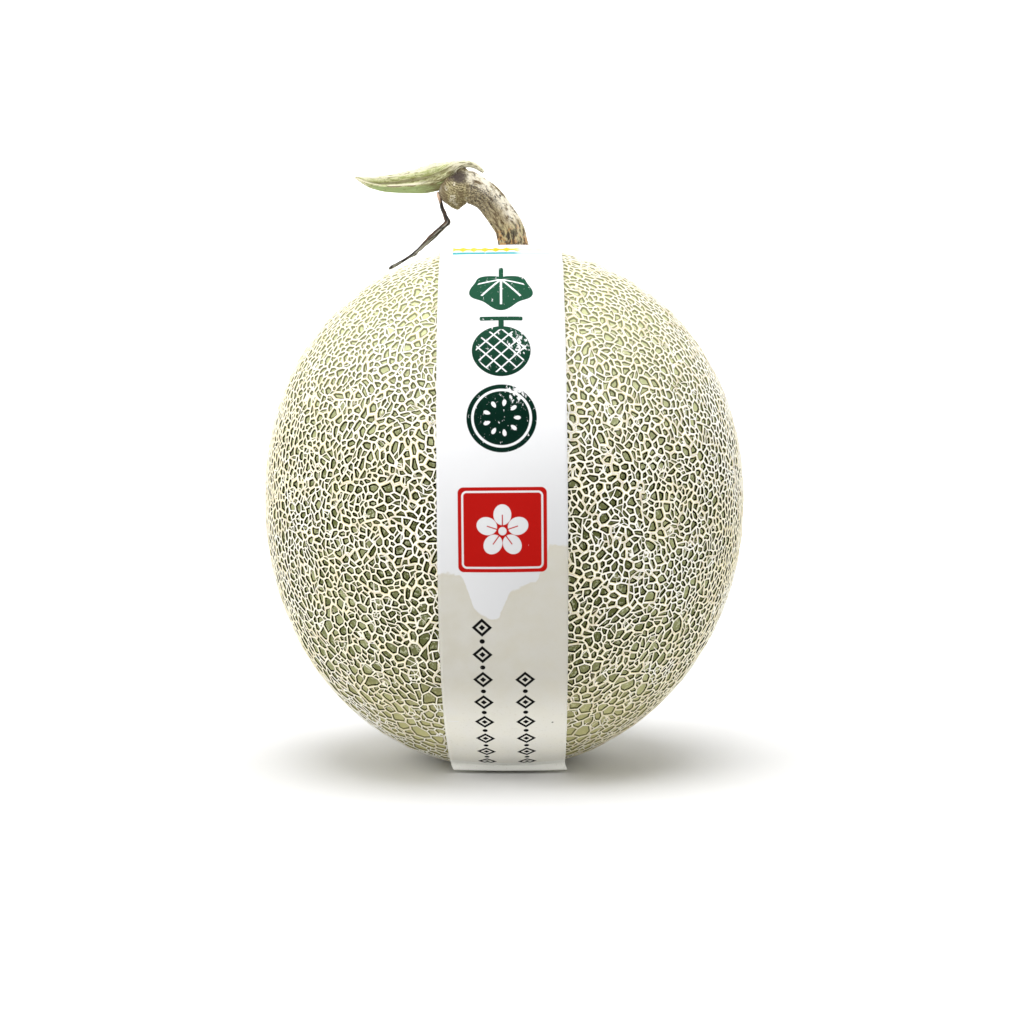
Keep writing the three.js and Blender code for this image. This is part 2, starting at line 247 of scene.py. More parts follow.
    following = beside(1)
    normal = Field(tree, add_node(tree, "GeometryNodeInputNormal").outputs[0])
    ahead = following.vector("SUBTRACT", position)
    behind = position.vector("SUBTRACT", beside(-1))
    in_ahead = normal.vector("CROSS_PRODUCT", ahead.vector("NORMALIZE"))
    in_behind = normal.vector("CROSS_PRODUCT", behind.vector("NORMALIZE"))
    opening = (in_ahead.vector("DOT_PRODUCT", in_behind) + 1.0).math("MAXIMUM", SHARPEST_MITRE)
    face = on_domain(index, "FACE", "INT")
    round_face = add_node(tree, "GeometryNodeAccumulateField", {
        "Value": ahead.vector("LENGTH"), "Group ID": face}, data_type="FLOAT", domain="POINT")
    quarter = Field(tree, round_face.outputs["Total"]) * 0.25
    area = Field(tree, add_node(tree, "GeometryNodeInputMeshFaceArea").outputs[0])
    narrow = (quarter - (quarter * quarter - area).math("MAXIMUM", 0.0).math("SQRT")) * 0.5
    height = position.parts()[2].ramp(0.0, 0.12, LOW_FLANK, 1.0)
    flank = size["Flank"] * (trunk * size["Trunk Spread"] + 1.0) * height
    flank = flank.math("MINIMUM", narrow * WIDEST_FLANK)
    inset = in_ahead.vector("ADD", in_behind).scaled(flank / opening)
    split = store(split, "inset", inset, "FLOAT_VECTOR")
    split = store(split, "narrow", narrow)

    sunk = add_node(tree, "GeometryNodeExtrudeMesh", {
        "Mesh": split, "Offset Scale": 0.0, "Individual": True}, mode="FACES")
    pane = position.vector("ADD", named("inset", "FLOAT_VECTOR")).vector("SUBTRACT", (0.0, 0.0, WIDEST_Z))
    x, y, z = position.parts()
    off_stalk = ((x - STALK_X) ** 2.0 + y * y).math("SQRT")
    relief = off_stalk.ramp(COLLAR_RADIUS, COLLAR_RADIUS * 1.7).math("MAXIMUM", 1.0 - (z > WIDEST_Z))
    shallow = named("narrow").ramp(0.0, size["Flank"] * 1.2, 0.45, 1.0)
    drop = size["Height"] * relief * shallow + swell
    panes = add_node(tree, "GeometryNodeSetPosition", {
        "Geometry": sunk.outputs["Mesh"], "Selection": sunk.outputs["Top"],
        "Position": on_fruit(tree, pane, drop)})
    top = Field(tree, sunk.outputs["Top"])
    netted = store(panes.outputs[0], "net", 1.0 - top * relief)
    merged = add_node(tree, "GeometryNodeMergeByDistance", {"Geometry": netted, "Distance": 1e-6})

    # The blossom scar is a shallow cup in the middle of the resting flat
    off_axis = (x * x + y * y).math("SQRT")
    cup = off_axis.ramp(SCAR_RADIUS * 0.4, SCAR_RADIUS, SCAR_DEPTH, 0.0) * (1.0 - (z > SCAR_DEPTH))
    scarred = add_node(tree, "GeometryNodeSetPosition", {
        "Geometry": merged.outputs[0], "Offset": combined(tree, 0.0, 0.0, cup)})
    smooth = add_node(tree, "GeometryNodeSetShadeSmooth", {"Geometry": scarred.outputs[0]})
    whole = add_node(tree, "GeometryNodeRealizeInstances", {"Geometry": smooth.outputs[0]})
    dressed = add_node(tree, "GeometryNodeSetMaterial", {
        "Geometry": whole.outputs[0], "Material": material})
    add_node(tree, "NodeGroupOutput", {"Geometry": dressed.outputs[0]})
    return tree


NET_SIZES = {
    "Density": 1680.0, "Least Distance": 0.0172, "Fork Gap": 0.006, "Jog": 0.004,
    "Patch Scale": 8.0, "Wander": 0.04, "Flank": 0.00086, "Trunk Spread": 0.3,
    "Trunk Rise": 0.00015, "Crest Waver": 0.00012, "Height": 0.00055,
}
NET_SEED = 12
BALL_SUBDIVISIONS = 6
WANDER_SCALE = 24.0
WAVER_SCALE = 60.0
BELLY_SHARE = 0.55
SHARPEST_MITRE = 0.7
WIDEST_FLANK = 0.78
LOW_FLANK = 0.62
COLLAR_RADIUS = 0.006
SCAR_RADIUS = 0.007
SCAR_DEPTH = 0.0009
SCAR_RING_PITCH = 0.0013
PORE_SCALE = 1700.0
FLECK_SCALE = 1100.0
HAIR_SCALE = 340.0
BLOTCH_SCALE = 210.0
BROAD_SCALE = 26.0


def plain_mesh(obj):
    """Turns what an object's modifiers make into its own mesh, and takes the modifiers off."""
    depsgraph = bpy.context.evaluated_depsgraph_get()
    made = bpy.data.meshes.new_from_object(obj.evaluated_get(depsgraph), depsgraph=depsgraph)
    made.name = obj.name
    obj.modifiers.clear()
    obj.data = made
    return obj


def add_object(name, mesh, material=None):
    obj = bpy.data.objects.new(name, mesh)
    bpy.context.scene.collection.objects.link(obj)
    if material is not None and not mesh.materials:
        mesh.materials.append(material)
    return obj


def new_material(name):
    material = bpy.data.materials.new(name)
    material.use_nodes = True
    return material, material.node_tree, material.node_tree.nodes["Principled BSDF"]


def noise_field(tree, place, scale, detail=2.0, roughness=0.5):
    inputs = {"Vector": place, "Scale": scale, "Detail": detail, "Roughness": roughness}
    return Field(tree, add_node(tree, "ShaderNodeTexNoise", inputs).outputs[0])


def attribute_field(tree, name, output="Fac"):
    return Field(tree, add_node(tree, "ShaderNodeAttribute", attribute_name=name).outputs[output])


def object_place(tree):
    return Field(tree, add_node(tree, "ShaderNodeTexCoord").outputs["Object"])


def bump(tree, height, distance, strength=1.0):
    inputs = {"Height": height, "Distance": distance, "Strength": strength}
    return add_node(tree, "ShaderNodeBump", inputs).outputs[0]


def fine_grain_group():
    """Pores and specks of a dry surface, shared by the cork, stalk, vine and paper."""
    group = bpy.data.node_groups.new("fine_grain", "ShaderNodeTree")
    group.interface.new_socket("Vector", in_out="INPUT", socket_type="NodeSocketVector")
    group.interface.new_socket("Scale", in_out="INPUT", socket_type="NodeSocketFloat")
    group.interface.new_socket("Grain", in_out="OUTPUT", socket_type="NodeSocketFloat")
    group.interface.new_socket("Specks", in_out="OUTPUT", socket_type="NodeSocketFloat")
    given = add_node(group, "NodeGroupInput").outputs
    grain = noise_field(group, given["Vector"], given["Scale"], 4.0, 0.62)
    specks = noise_field(group, given["Vector"], Field(group, given["Scale"]) * 0.37, 1.0)
    add_node(group, "NodeGroupOutput", {"Grain": grain, "Specks": specks.ramp(0.62, 0.72)})
    return group


FINE_GRAIN = fine_grain_group()


def fine_grain(tree, place, scale):
    node = add_node(tree, "ShaderNodeGroup", node_tree=FINE_GRAIN)
    fill(tree, node.inputs["Vector"], place)
    fill(tree, node.inputs["Scale"], scale)
    return Field(tree, node.outputs["Grain"]), Field(tree, node.outputs["Specks"])


def netted_rind_material():
    material, tree, shader = new_material("netted_rind")
    place = object_place(tree)
    net = attribute_field(tree, "net")
    trunk = attribute_field(tree, "trunk")
    tint = attribute_field(tree, "tint")
    room = attribute_field(tree, "narrow")
    grain, specks = fine_grain(tree, place, PORE_SCALE)
    broad = noise_field(tree, place, BROAD_SCALE)
    blotch = noise_field(tree, place, BLOTCH_SCALE)

    cork = (net + (grain - 0.5) * 0.3 + trunk * 0.1).ramp(0.55, 0.61)
    hairs = add_node(tree, "ShaderNodeTexVoronoi", {"Vector": place, "Scale": HAIR_SCALE},
                     feature="DISTANCE_TO_EDGE")
    hair_line = Field(tree, hairs.outputs["Distance"]).ramp(0.03, 0.06, 1.0, 0.0)
    split_pane = (tint * 7.3).math("FRACT").ramp(0.62, 0.67) * room.ramp(0.001, 0.0012)
    hair_line = hair_line * split_pane * blotch.ramp(0.4, 0.46)
    cork = cork.math("MAXIMUM", hair_line)

    cream = broad.ramp(0.3, 0.7).mix(CREAM_CORK, WARM_CORK)
    cream = blotch.ramp(0.45, 0.8).mix(cream, CREAM_CORK)
    x, y, height = place.parts()
    cream = height.ramp(0.115, 0.16, 0.0, 0.75).mix(cream, SHOULDER_CORK)
    # Painted shade: the lower flanks of the cork ridges turn a dark yellow olive, standing in for shade and
    # warm light bounced between the ridges.
    cream = net.ramp(0.54, 0.84).math("MAXIMUM", hair_line).mix(CORK_FLANK_SHADE, cream)
    crack = net.ramp(0.87, 0.96) * trunk.ramp(0.6, 0.95) * blotch.ramp(0.42, 0.52)
    cream = (crack * 0.7).mix(cream, CORK_CRACK)
    cream = (specks * 0.25).mix(cream, CORK_CRACK)

    pane = (tint * 0.6 + grain * 0.4).ramp(0.15, 0.85).mix(DEEP_RIND, PALE_RIND)
    # Panes are a darker green across the front middle of the fruit, below the shoulder.
    ground = x.math("ABSOLUTE").ramp(0.026, 0.05, 0.75, 0.0) * height.ramp(0.09, 0.11, 1.0, 0.0)
    pane = (ground * y.ramp(-0.04, -0.06)).mix(pane, FRONT_DARK_RIND)
    flecks = noise_field(tree, place, FLECK_SCALE, 3.0)
    pane = (flecks.ramp(0.52, 0.66) * 0.6).mix(pane, RIND_FLECK)
    # Panes grow paler towards the top: partly a paler rind there, partly painted light from above.
    pane = height.ramp(0.085, 0.14, 0.0, 0.85).mix(pane, PALE_AND_LIT_SHOULDER_RIND)
    # Panes turn pale tan towards the bottom: partly the belly's own tan, partly painted light bounced up
    # from below.
    pane = height.ramp(0.004, 0.045, 0.95, 0.0).mix(pane, BELLY_TAN_AND_BOUNCE_LIGHT)
    # Painted shade: the outline is a near-black rim where each pane meets the foot of its ridges and beside
    # the hair lines, weaker towards the top and the bottom of the fruit.
    outline = height.ramp(0.09, 0.145, 1.0, 0.65) * height.ramp(0.0, 0.035, 0.6, 1.0)
    pane = (net.ramp(-0.02, 0.14) * outline).mix(pane, PANE_EDGE_SHADE)
    pane = (hair_line.ramp(0.0, 0.1) * outline * 0.7).mix(pane, PANE_EDGE_SHADE)
    # Rings of cork close the blossom scar
    off_axis = (x * x + y * y).math("SQRT") + (blotch - 0.5) * 0.0034
    scar = off_axis.ramp(SCAR_RADIUS * 0.9, SCAR_RADIUS, 1.0, 0.0) * height.ramp(0.001, 0.002, 1.0, 0.0)
    scar_rings = (off_axis / SCAR_RING_PITCH * 2 * math.pi).math("SINE") * 0.3 + grain + blotch * 0.6
    scar_colour = scar_rings.ramp(0.2, 1.5).mix(SCAR_BROWN, WARM_CORK)
    scar_colour = off_axis.ramp(0.0008, 0.0016, 0.8, 0.0).mix(scar_colour, CORK_CRACK)
    colour = scar.mix(cork.mix(pane, cream), scar_colour)
    fill(tree, shader.inputs["Base Color"], colour)
    shader.inputs["Specular IOR Level"].default_value = 0.03
    fill(tree, shader.inputs["Roughness"], cork.ramp(0.0, 1.0, 0.5, 0.85))
    relief = cork * 0.5 + grain * 0.5 - crack * 0.6
    fill(tree, shader.inputs["Normal"], bump(tree, relief, 0.00018, 0.8))
    return material


rind_material = netted_rind_material()
rind = add_object("netted_rind", bpy.data.meshes.new("netted_rind"), rind_material)
net_modifier = rind.modifiers.new("raised_cork_net", "NODES")
net_modifier.node_group = cork_net_tree(rind_material)
for socket in net_modifier.node_group.interface.items_tree:
    if socket.in_out == "INPUT" and socket.name in NET_SIZES:
        net_modifier[socket.identifier] = NET_SIZES[socket.name]
    if socket.in_out == "INPUT" and socket.name == "Seed":
        net_modifier[socket.identifier] = NET_SEED
plain_mesh(rind)
for spare in ("patch", "inset"):
    rind.data.attributes.remove(rind.data.attributes[spare])
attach(rind, "root")
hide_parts("fruit")


# The fruit's own stalk rises from the dimple, leans over and swells into the node where it grew from
# the vine. It is dried brown wood with ribs, grey cork flecks and rings of wrinkles on the node.
STALK_PATH = (
    (0.0029, 0.0, 0.1599), (0.0027, 0.0, 0.1629), (0.0013, 0.0003, 0.1686), (-0.0009, 0.0005, 0.1724),
    (-0.0033, 0.0005, 0.1759), (-0.0061, 0.0003, 0.1787), (-0.0106, 0.0, 0.1809), (-0.0146, 0.0, 0.1808),
    (-0.0178, 0.0, 0.1802), (-0.0206, 0.0, 0.1795),
)
CURVE_STEPS = 24
STALK_RINGS = 170
STALK_SIDES = 96
STALK_RADIUS = 0.0044
STALK_RIBS = 5
RIB_DEPTH = 0.07
FOOT_FLARE = 0.0014
FLARE_HEIGHT = 0.0022
NODE_MIDDLE = (-0.0156, 0.0, 0.18)
NODE_SWELL = 0.0006
NODE_REACH = 0.0043
NODE_TIP = 0.0012
NODE_PEAK = 0.0021
NODE_CREASE = 0.0004
HOLLOW = (-0.0141, -0.0034, 0.1843)
WRINKLE_PITCH = 0.00064
WRINKLE_DEPTH = 0.00006
FIBRE_DEPTH = 0.00026
HOLLOW_DEPTH = 0.0014
HOLLOW_RADIUS = 0.002
STREAK_SCALE = 1300.0
MOTTLE_SCALE = 420.0
FOOT_PATCH_SCALE = 850.0
STALK_PORE_SCALE = 2400.0
STALK_TAN = (0.46, 0.39, 0.23, 1)
STALK_CREAM = (0.9, 0.85, 0.71, 1)
STALK_BROWN = (0.09, 0.055, 0.025, 1)
STALK_BLACK = (0.012, 0.01, 0.008, 1)
STALK_RUST = (0.46, 0.25, 0.09, 1)
STALK_GREY = (0.05, 0.045, 0.045, 1)
NODE_OLIVE = (0.52, 0.45, 0.24, 1)
NODE_BROWN = (0.08, 0.06, 0.022, 1)
HOLLOW_SHADE_GREY = (0.05, 0.035, 0.03, 1)


def path_lengths(places):
    """How far along a line of places each of them lies."""
    legs = np.linalg.norm(np.diff(places[:, :3], axis=0), axis=1)
    return np.concatenate([[0], np.cumsum(legs)])


def smooth_path(points, count):
    """Places on a smooth line through the points, evenly spaced, and the line's directions there.

    What follows x, y and z in a point is carried along and smoothed in the same way.
    """
    knots = np.array(points, float)
    knots = np.vstack([2 * knots[0] - knots[1], knots, 2 * knots[-1] - knots[-2]])
    steps = np.linalg.norm(np.diff(knots[:, :3], axis=0), axis=1) ** 0.5
    places = []
    for i in range(1, len(knots) - 2):
        before, here, after = steps[i - 1:i + 2]
        rise_in = (knots[i] - knots[i - 1]) / before - (knots[i + 1] - knots[i - 1]) / (before + here)
        rise_in = (rise_in + (knots[i + 1] - knots[i]) / here) * here
        rise_out = (knots[i + 1] - knots[i]) / here - (knots[i + 2] - knots[i]) / (here + after)
        rise_out = (rise_out + (knots[i + 2] - knots[i + 1]) / after) * here
        gap = knots[i + 1] - knots[i]
        for t in np.linspace(0, 1, CURVE_STEPS, endpoint=i == len(knots) - 3):
            curve = (3 * gap - 2 * rise_in - rise_out) * t + (rise_in + rise_out - 2 * gap) * t * t
            places.append(knots[i] + (rise_in + curve) * t)
    places = np.array(places)
    walked = path_lengths(places)
    even = np.linspace(0, walked[-1], count)
    spots = np.stack([np.interp(even, walked, column) for column in places.T], axis=1)
    heading = np.gradient(spots[:, :3], axis=0)
    return spots, heading / np.linalg.norm(heading, axis=1, keepdims=True), even


def turns(count):
    """Evenly spaced angles once round a tube."""
    return np.linspace(0, 2 * math.pi, count, endpoint=False)


def ring_frames(heading):
    """Two directions square to each heading: the upper one, and the one towards +Y."""
    side = np.array([0.0, 1.0, 0.0]) - heading * heading[:, 1:2]
    side /= np.linalg.norm(side, axis=1, keepdims=True)
    return np.cross(side, heading), side


def loft_mesh(name, spots, heading, along, up_reach, side_reach):
    """A closed tube: one ring round each spot, joined end to end, with a fan at either end."""
    up, side = ring_frames(heading)
    rings = spots[:, None] + up[:, None] * up_reach[..., None] + side[:, None] * side_reach[..., None]
    count, sides = up_reach.shape
    points = np.concatenate([rings.reshape(-1, 3), rings[:1].mean(axis=1), rings[-1:].mean(axis=1)])
    faces = []
    for i in range(count - 1):
        for j in range(sides):
            here, beside = i * sides + j, i * sides + (j + 1) % sides
            faces.append((here, beside, beside + sides, here + sides))
    first, last = count * sides, count * sides + 1
    for j in range(sides):
        beside = (j + 1) % sides
        faces.append((beside, j, first))
        faces.append((j + (count - 1) * sides, beside + (count - 1) * sides, last))
    mesh = bpy.data.meshes.new(name)
    mesh.from_pydata(points, [], faces)
    mesh.polygons.foreach_set("use_smooth", [True] * len(faces))
    straight = np.stack([up_reach, side_reach, np.repeat(along[:, None], sides, axis=1)], axis=2)
    straight = np.concatenate([straight.reshape(-1, 3), [[0, 0, along[0]], [0, 0, along[-1]]]])
    store_points(mesh, "grain", straight)
    return mesh


def store_points(mesh, name, values):
    """Keeps a number or a vector for each point of a mesh."""
    values = np.asarray(values, float)
    kind = "FLOAT" if values.ndim == 1 else "FLOAT_VECTOR"
    layer = mesh.attributes.new(name, kind, "POINT")
    layer.data.foreach_set("value" if kind == "FLOAT" else "vector", values.ravel())


def straight_places(mesh):
    """Where each point of a tube would lie if the tube ran straight up, as loft_mesh stores it."""
    places = np.empty(len(mesh.vertices) * 3)
    mesh.attributes["grain"].data.foreach_get("vector", places)
    return places.reshape(-1, 3)


def mesh_points(mesh, values=None):
    """Reads a mesh's points, or moves them to new places."""
    if values is None:
        values = np.empty(len(mesh.vertices) * 3)
        mesh.vertices.foreach_get("co", values)
        return values.reshape(-1, 3)
    mesh.vertices.foreach_set("co", values.ravel())
    mesh.update()
    return values


def rise_along_normals(mesh, heights):
    normals = np.empty(len(mesh.vertices) * 3)
    mesh.vertices.foreach_get("normal", normals)
    mesh_points(mesh, mesh_points(mesh) + normals.reshape(-1, 3) * heights[:, None])


def noise_at(points, scale, octaves=3):
    """Seeded noise from -1 to 1 at each point; scale may differ by axis."""
    scaled = np.asarray(points) * scale
    return np.array([noise.fractal(Vector(p), 1.0, 2.0, octaves) for p in scaled])


def bell(values, middle, width):
    return np.exp(-(((values - middle) / width) ** 2))


def stalk_mesh():
    spots, heading, along = smooth_path(STALK_PATH, STALK_RINGS)
    heading[0] = (0, 0, 1)
    share = along / along[-1]
    turn = turns(STALK_SIDES)
    node_at = along[np.argmin(np.linalg.norm(spots - np.array(NODE_MIDDLE), axis=1))]
    ribs = np.cos(STALK_RIBS * (turn[None] + 0.5 * share[:, None]))
    ribs = np.sign(ribs) * np.abs(ribs) ** 0.8
    on_stem = 1 / (1 + np.exp((along - node_at + NODE_REACH) / 0.0006))
    reach = STALK_RADIUS * (1 + RIB_DEPTH * ribs * on_stem[:, None])
    reach += (FOOT_FLARE * np.exp(-along / FLARE_HEIGHT))[:, None]
    reach += (NODE_SWELL * bell(along, node_at, NODE_REACH * 0.9))[:, None]
    reach -= (NODE_CREASE * bell(along, node_at - NODE_REACH, 0.0004))[:, None]
    to_end = (along[-1] - along) / 0.0042
    reach *= np.sqrt(np.clip(1 - np.clip(1 - to_end, 0, 1) ** 2, 0.0004, 1))[:, None]
    low = np.clip(-np.cos(turn), 0, 1) ** 4
    high = np.clip(np.cos(turn), 0, 1) ** 2
    reach += (NODE_TIP * bell(along, node_at, 0.0022))[:, None] * low[None]
    reach += (NODE_PEAK * bell(along, node_at - 0.0026, 0.0026))[:, None] * high[None]
    mesh = loft_mesh("dry_stalk", spots, heading, along, reach * np.cos(turn), reach * np.sin(turn))
    points = mesh_points(mesh)
    grain = straight_places(mesh)
    off_hollow = np.linalg.norm(points - np.array(HOLLOW), axis=1)
    off_node = np.abs(grain[:, 2] - node_at)
    on_node = 1 / (1 + np.exp((off_node - NODE_REACH) / 0.0004))
    waver = noise_at(points, 260, 4) * 4.2
    wrinkle = np.sin(off_hollow / WRINKLE_PITCH * 2 * math.pi + waver)
    fibre = noise_at(grain, (900, 900, 160))
    heights = WRINKLE_DEPTH * wrinkle * on_node + FIBRE_DEPTH * fibre * (1 - 0.5 * on_node)
    heights -= HOLLOW_DEPTH * bell(off_hollow, 0, HOLLOW_RADIUS)
    rise_along_normals(mesh, heights)
    store_points(mesh, "node", on_node)
    store_points(mesh, "wrinkle", wrinkle)
    return mesh


def drawn_out(grain, share):
    """Places for a pattern that is drawn out along a tube; a smaller share makes it longer."""
    return grain.vector("MULTIPLY", (1.0, 1.0, share))


def stalk_material():
    material, tree, shader = new_material("dry_stalk")
    place = object_place(tree)
    grain = attribute_field(tree, "grain", "Vector")
    streaks = noise_field(tree, drawn_out(grain, 0.3), STREAK_SCALE, 5.0, 0.68)
    mottles = noise_field(tree, grain, MOTTLE_SCALE, 3.0, 0.6)
    fine, specks = fine_grain(tree, grain, STALK_PORE_SCALE)
    on_node = attribute_field(tree, "node")
    wrinkle = attribute_field(tree, "wrinkle")
    x, _, z = place.parts()
    off_hollow = place.vector("DISTANCE", HOLLOW)
    up, _, along = grain.parts()

    colour = streaks.ramp(0.35, 0.62).mix(STALK_BROWN, STALK_TAN)
    # Painted highlight: cream streaks over the upper side of the stalk.
    painted_top_highlight = up.ramp(-0.001, 0.0034) * (mottles + streaks * 0.6).ramp(0.66, 0.86)
    colour = (painted_top_highlight * 0.8).mix(colour, STALK_CREAM)
    flecks = fine.ramp(0.53, 0.46) * along.ramp(0.013, 0.02) * up.ramp(0.0032, 0.0006)
    colour = (flecks * (1.0 - on_node) * 0.8).mix(colour, STALK_GREY)
    colour = (specks * 0.9 * along.ramp(0.005, 0.014)).mix(colour, STALK_BLACK)
    foot = (along + (mottles - 0.5) * 0.004).ramp(0.0065, 0.0115, 1.0, 0.0)
    patches = noise_field(tree, drawn_out(grain, 0.45), FOOT_PATCH_SCALE, 4.0, 0.6)
    colour = (foot * streaks.ramp(0.4, 0.55) * 0.8).mix(colour, NODE_OLIVE)
    colour = (foot * mottles.ramp(0.47, 0.56) * 0.85).mix(colour, STALK_RUST)
    colour = (foot * patches.ramp(0.52, 0.45) * 0.8).mix(colour, STALK_BLACK)
    node_colour = (wrinkle * 0.5 + (fine - 0.5) * 5.0).ramp(-1.0, 1.0).mix(NODE_BROWN, NODE_OLIVE)
    node_colour = (mottles.ramp(0.54, 0.66) * fine.ramp(0.42, 0.55) * 0.75).mix(node_colour, STALK_CREAM)
    # Painted shade: the underside of the node darkens to brown.
    node_colour = (z.ramp(0.1795, 0.176) * 0.4).mix(node_colour, NODE_BROWN)
    dark_side = mottles.ramp(0.5, 0.36) + x.ramp(-0.0172, -0.0195)
    node_colour = (dark_side.math("MINIMUM", 1.0) * 0.7).mix(node_colour, STALK_BROWN)
    colour = on_node.mix(colour, node_colour)
    # Painted shade: dark grey in the hollow on top of the node, under the vine's beak.
    shade = (off_hollow + (mottles - 0.5) * 0.004).ramp(0.0014, 0.0038, 0.92, 0.0)
    colour = shade.mix(colour, HOLLOW_SHADE_GREY)
    fill(tree, shader.inputs["Base Color"], colour)
    shader.inputs["Roughness"].default_value = 0.85
    height = streaks * 0.7 + fine * 0.3
    fill(tree, shader.inputs["Normal"], bump(tree, height, 0.0003, 0.8))
    return material


stalk = add_object("dry_stalk", stalk_mesh(), stalk_material())
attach(stalk, "root")
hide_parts("fruit_stalk")


# A short length of the vine was cut off with the stalk and dried on it. It is a hollow green stem
# that shrivelled flat, with lengthwise folds and fibres, and a beak that arches over the node.
VINE_STATIONS = (
    (-0.0470, 0.0, 0.1846, 0.0004, 0.0005, 0.0), (-0.0434, 0.0, 0.1834, 0.0014, 0.0013, 0.2),
    (-0.0397, 0.0001, 0.1828, 0.0022, 0.0020, 0.45), (-0.0355, 0.0002, 0.1828, 0.0028, 0.0025, 0.5),
    (-0.0306, 0.0002, 0.1832, 0.0034, 0.0029, 0.5), (-0.0252, 0.0001, 0.1839, 0.0041, 0.0034, 0.4),
    (-0.0203, 0.0, 0.1853, 0.0042, 0.0040, 0.2), (-0.0178, 0.0, 0.1867, 0.0032, 0.0041, 0.1),
    (-0.0153, 0.0, 0.1881, 0.0019, 0.0039, 0.0), (-0.0121, 0.0, 0.1888, 0.0011, 0.0032, 0.0),
    (-0.0096, 0.0, 0.1884, 0.0009, 0.0023, 0.0), (-0.0065, 0.0, 0.1863, 0.0005, 0.0008, 0.0),
)
VINE_RINGS = 190
VINE_SIDES = 96
FOLD_WIDTH = 0.38
PLEATS = 9
PLEAT_DEPTH = 0.00013
VINE_FIBRE_DEPTH = 0.0001
VINE_FIBRE_SCALE = 2200.0
VINE_MOTTLE_SCALE = 600.0
VINE_PORE_SCALE = 2600.0
VINE_GREEN = (0.33, 0.36, 0.12, 1)
VINE_PALE = (0.63, 0.64, 0.37, 1)
VINE_CREAM = (0.8, 0.76, 0.57, 1)
VINE_BROWN = (0.13, 0.095, 0.035, 1)
VINE_LEAF = (0.32, 0.41, 0.17, 1)


def vine_mesh():
    stations, heading, along = smooth_path(VINE_STATIONS, VINE_RINGS)
    spots = stations[:, :3]
    half, thick, fold = (np.maximum(stations[:, k, None], 0) for k in (3, 4, 5))
    turn = turns(VINE_SIDES)[None]
    pinch = 1 - fold * np.exp(-((np.cos(turn) / FOLD_WIDTH) ** 2))
    across = thick * pinch * np.sin(turn)
    mesh = loft_mesh("shrivelled_vine", spots, heading, along, half * np.cos(turn), across)
    size = np.append(np.repeat(half[:, 0], VINE_SIDES), [0.0, 0.0])
    angle = np.append(np.tile(turn[0], VINE_RINGS), [0.0, 0.0])
    grain = straight_places(mesh)
    fibre = noise_at(grain, (1300, 1300, 110))
    pleat = np.sin(PLEATS * angle + 2.0 * noise_at(grain, (200, 200, 60), 2))
    heights = PLEAT_DEPTH * pleat + VINE_FIBRE_DEPTH * fibre
    rise_along_normals(mesh, heights * np.clip(size / 0.002, 0.1, 1))
    store_points(mesh, "pleat", pleat)
    store_points(mesh, "level", -np.cos(angle))
    return mesh


def vine_material():
    material, tree, shader = new_material("shrivelled_vine")
    grain = attribute_field(tree, "grain", "Vector")
    pleat = attribute_field(tree, "pleat")
    fibres = noise_field(tree, drawn_out(grain, 0.14), VINE_FIBRE_SCALE, 5.0, 0.65)
    mottles = noise_field(tree, drawn_out(grain, 0.3), VINE_MOTTLE_SCALE, 3.0)
    fine, specks = fine_grain(tree, grain, VINE_PORE_SCALE)
    _, _, along = grain.parts()
    level = attribute_field(tree, "level") + (mottles - 0.5) * 0.35
    colour = (fibres * 0.7 + fine * 0.3).ramp(0.4, 0.58).mix(VINE_GREEN, VINE_PALE)
    # Painted shade: the pleats' grooves darken to brown.
    colour = (pleat.ramp(-0.2, -0.9) * 0.6).mix(colour, VINE_BROWN)
    colour = (fibres.ramp(0.46, 0.38) * mottles.ramp(0.45, 0.6) * 0.8).mix(colour, VINE_BROWN)
    rim = level.ramp(0.45, 0.75) * fibres.ramp(0.34, 0.46)
    colour = (rim * 0.85).mix(colour, VINE_CREAM)
    leaf = level.ramp(-0.5, -0.6) * along.ramp(0.003, 0.008)
    colour = (leaf * fibres.ramp(0.3, 0.5, 0.6, 0.95)).mix(colour, VINE_LEAF)
    pale_fold = level.ramp(-0.12, -0.22) * level.ramp(-0.46, -0.4) * along.ramp(0.026, 0.02)
    colour = (pale_fold * mottles.ramp(0.38, 0.5) * 0.9).mix(colour, VINE_CREAM)
    groove = level.ramp(-0.54, -0.48) * level.ramp(-0.36, -0.44) * along.ramp(0.004, 0.01)
    colour = (groove * mottles.ramp(0.4, 0.55) * 0.9).mix(colour, VINE_BROWN)
    shady = along.ramp(0.018, 0.025) * level.ramp(0.2, -0.3)
    colour = (shady * fibres.ramp(0.62, 0.45) * 0.8).mix(colour, VINE_BROWN)
    tips = along.ramp(0.001, 0.006, 1.0, 0.0).math("MAXIMUM", along.ramp(0.029, 0.033))
    colour = (tips * fibres.ramp(0.38, 0.52) * 0.85).mix(colour, VINE_CREAM)
    colour = (specks * 0.4).mix(colour, VINE_BROWN)
    fill(tree, shader.inputs["Base Color"], colour)
    shader.inputs["Roughness"].default_value = 0.75
    fill(tree, shader.inputs["Normal"], bump(tree, fibres * 0.7 + fine * 0.3, 0.00025, 0.8))
    return material


vine = add_object("shrivelled_vine", vine_mesh(), vine_material())
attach(vine, "root")
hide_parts("vine_piece")


